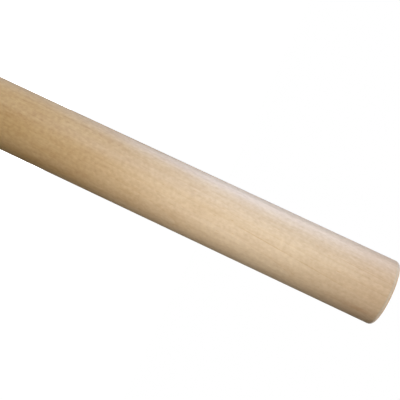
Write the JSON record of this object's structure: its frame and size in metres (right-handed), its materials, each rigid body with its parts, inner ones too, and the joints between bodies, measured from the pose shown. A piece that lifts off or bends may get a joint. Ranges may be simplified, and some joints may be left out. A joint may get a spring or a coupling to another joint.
{
  "type": "wooden dowel rod",
  "caption": "Plain round hardwood rod, cut square at both ends with eased rims, for use as a rail, axle, handle, peg or roller core.",
  "frame": {"origin": "centre of the flat face of the end that the rod stands on", "axes": "+Z along the rod's axis, from the end it stands on to the upper end; X and Y are any two directions across it"},
  "size_m": [0.0318, 0.0318, 0.3048],
  "materials": {
    "pale_hardwood": "bare wood, sanded smooth, no stain or varnish"
  },
  "bodies": {
    "root": {"dowel_rod": "pale_hardwood"}
  },
  "joints": []
}
